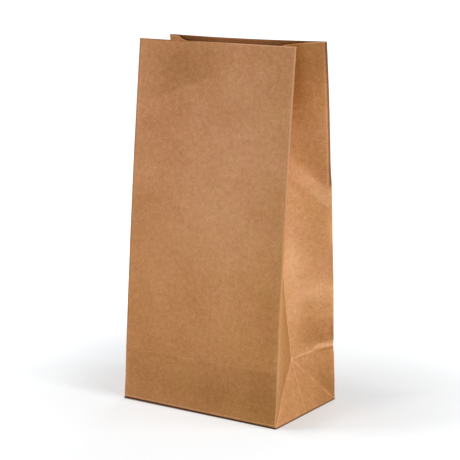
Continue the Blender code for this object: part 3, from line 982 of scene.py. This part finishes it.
# %% [markdown]
# ## The floor
# The bag stands on a plain white surface. A white floor under soft lamps is never evenly white in a picture:
# it fades with distance. So the floor stays an ordinary matt surface for light, which keeps the bag's shadow,
# and glows only for the eye, more so far away. Light Path tells the two apart.
# A thin dark line of painted shadow runs along the base, wider at the front's left end, and the glow holds
# a painted shadow beside the bag's two ends and a little painted light in front of it.

# %% The floor's surface
FLOOR_REACH = 6.0
FLOOR_GAP = 0.05 * MM  # between the floor and the paper, so that the two never share a plane
floor_mesh = bpy.data.meshes.new("floor")
edges = (-FLOOR_REACH, FLOOR_REACH)
floor_corners = [(x, y, -FLOOR_GAP) for y in edges for x in edges]
floor_mesh.from_pydata(floor_corners, [], [(0, 1, 3, 2)])
floor = placed("floor", floor_mesh)
ground = Finish(bpy.data.materials.new("white_floor"))
ground.feed("Roughness", 0.9)
ground.feed("Specular IOR Level", 0.0)
floor_mesh.materials.append(ground.owner)
spot = ground.node("ShaderNodeNewGeometry", {}, {}, "Position")
from_bag = ground.node("ShaderNodeVectorMath", {"operation": "LENGTH"}, {"Vector": spot}, "Value")
floor_x, floor_y = (ground.node("ShaderNodeSeparateXYZ", {}, {"Vector": spot}, axis) for axis in "XY")
print(f"the floor reaches {FLOOR_REACH:.0f} m to each side")

# %% Where the paper meets the floor
FLOOR_WHITE = (0.66, 0.69, 0.71, 1)
# A painted contact shadow along the base, which the floor's colour turns to there.
CONTACT_SHADE = (0.2, 0.11, 0.07, 1)
CONTACT = 0.5 * MM  # how far the dark line reaches out from the base
FRONT_CONTACT = 2.4 * MM  # it reaches this much farther at the front's left end
past_base = (abs(floor_x) - HALF_WIDTH).most(abs(floor_y) - HALF_DEPTH)
before_bag = floor_y.fall(-HALF_DEPTH, -HALF_DEPTH + MM)
between_ends = abs(floor_x).fall(HALF_WIDTH - MM, HALF_WIDTH)
to_the_left = floor_x.ramp(-HALF_WIDTH, HALF_WIDTH, 1, 0.25)
along_front = before_bag * between_ends * to_the_left * FRONT_CONTACT
past_contact = past_base.ramp(0.3 * MM, CONTACT + along_front)
ground.feed("Base Color", ground.mixed(past_contact, CONTACT_SHADE, FLOOR_WHITE))
print(f"the contact line is {CONTACT / MM:.1f} mm wide, and {(CONTACT + FRONT_CONTACT) / MM:.1f} mm at most")

# %% What the floor shows to the eye
NEAR_GLOW, FAR_GLOW = 0.43, 1.0
FADE_FROM, FADE_TO = 0.1, 0.45  # metres from the middle of the bag
GAP_REACH = 1.5 * MM  # the glow starts this far out from the base, so the gap under its edge stays dark
# The glow holds a painted shadow beside the bag's two ends and painted light in front of it.
END_SHADE, FRONT_LIGHT = 0.1, 0.05  # how much darker it is beside the two ends, and lighter in front
LEFT_REACH, RIGHT_REACH = 85 * MM, 34 * MM  # how far that shade reaches at each end
end_reach = floor_x.ramp(-HALF_WIDTH, HALF_WIDTH, LEFT_REACH, RIGHT_REACH)
past_end = past_base / floor_y.ramp(-20 * MM, 60 * MM, 1, 1.8)
end_fade = past_end.fall(0.2 * end_reach, end_reach)
beside_end = (abs(floor_x) - HALF_WIDTH).ramp(-60 * MM, 4 * MM) * end_fade
in_front = floor_y.fall(-HALF_DEPTH - 12 * MM, -HALF_DEPTH + 8 * MM)
# Painted shadow beside the ends, and painted light in front.
end_shade = beside_end * (1 - in_front) * END_SHADE
front_light = in_front * past_base.fall(60 * MM, 150 * MM) * FRONT_LIGHT
even_glow = from_bag.ramp(FADE_FROM, FADE_TO, NEAR_GLOW, FAR_GLOW)
glow = (even_glow - end_shade + front_light) * past_base.ramp(0, GAP_REACH + along_front)
ground.feed("Emission Color", glow)
ground.feed("Emission Strength", seen_directly(ground))
print(f"floor glows from {NEAR_GLOW} beside the bag to {FAR_GLOW} beyond {FADE_TO} m, for the eye only")

# %% [markdown]
# ## The light
# Two wide soft lamps stand to the right, one a little in front of the gusset and one a little behind it. A
# third stands to the left and lights the front, and a weak one comes from behind and above.
# An even world fills the shadows. The strengths are such that a colour renders about as it is written.

# %% The world
WORLD_LEVEL = 0.28
world = bpy.data.worlds.new("studio")
bpy.context.scene.world = world
sky = Finish(world, "Background")
sky.feed("Color", (1, 1, 1, 1))
sky.feed("Strength", seen_directly(sky) * (1 - WORLD_LEVEL) + WORLD_LEVEL)
print(f"world level {WORLD_LEVEL}, and white to the eye")

# %% Lamps
LAMP_DISTANCE, LAMP_SIZE = 0.8, 0.35
LAMP_AIM = Vector((0, 0, high.z / 2))
LAMPS = {  # azimuth and elevation in degrees, and watts
    "lamp_right_front": (70, 12, 1.85),
    "lamp_right_back": (112, 12, 2.5),
    "lamp_left": (-56, 28, 3.05),
    "lamp_behind": (-165, 35, 0.9),
}


def away_from_bag(azimuth, elevation):
    """A direction from the bag. Azimuth 0 is in front of it, and a quarter turn is to its right."""
    level = math.cos(elevation)
    return Vector((level * math.sin(azimuth), -level * math.cos(azimuth), math.sin(elevation)))


for name, (azimuth, elevation, watts) in LAMPS.items():
    direction = away_from_bag(math.radians(azimuth), math.radians(elevation))
    lamp = bpy.data.lights.new(name, "AREA")
    lamp.shape, lamp.size, lamp.energy = "SQUARE", LAMP_SIZE, watts
    holder = placed(name, lamp)
    holder.location = LAMP_AIM + direction * LAMP_DISTANCE
    holder.rotation_euler = direction.to_track_quat("Z", "Y").to_euler()
print(f"{len(LAMPS)} lamps, {sum(lamp[2] for lamp in LAMPS.values()):.0f} W together")

# %% [markdown]
# ## The camera
# It looks down a little from the bag's front right, from about a metre away. A Track To constraint would
# aim it too, but its turn and roll are known, so its three directions are worked out from them.

# %% The camera
AZIMUTH, ELEVATION, ROLL = (math.radians(angle) for angle in (33.8955, 11.8181, -0.3116))
CAMERA_DISTANCE = 1.09316
FOCAL_PIXELS, PICTURE_PIXELS, SENSOR = 1540, 460, 36
AIM_UP, AIM_RIGHT, AIM_DOWN = 130, 1.1282, 5.1545  # mm above the base's middle, then off it in the picture
back_way = away_from_bag(AZIMUTH, ELEVATION)
level_right = Vector((math.cos(AZIMUTH), math.sin(AZIMUTH), 0))
level_up = back_way.cross(level_right)
camera_right = level_right * math.cos(ROLL) + level_up * math.sin(ROLL)
camera_up = level_up * math.cos(ROLL) - level_right * math.sin(ROLL)
aim = Vector((0, 0, AIM_UP * MM)) + camera_right * AIM_RIGHT * MM - camera_up * AIM_DOWN * MM
lens = bpy.data.cameras.new("camera")
lens.sensor_width = SENSOR
lens.lens = FOCAL_PIXELS / PICTURE_PIXELS * SENSOR
camera = placed("camera", lens)
turn = Matrix((camera_right, camera_up, back_way)).transposed().to_4x4()
camera.matrix_world = Matrix.Translation(aim + back_way * CAMERA_DISTANCE) @ turn
bpy.context.scene.camera = camera
bpy.context.scene.view_settings.view_transform = "Standard"
print("camera at", [round(part, 4) for part in camera.matrix_world.translation])
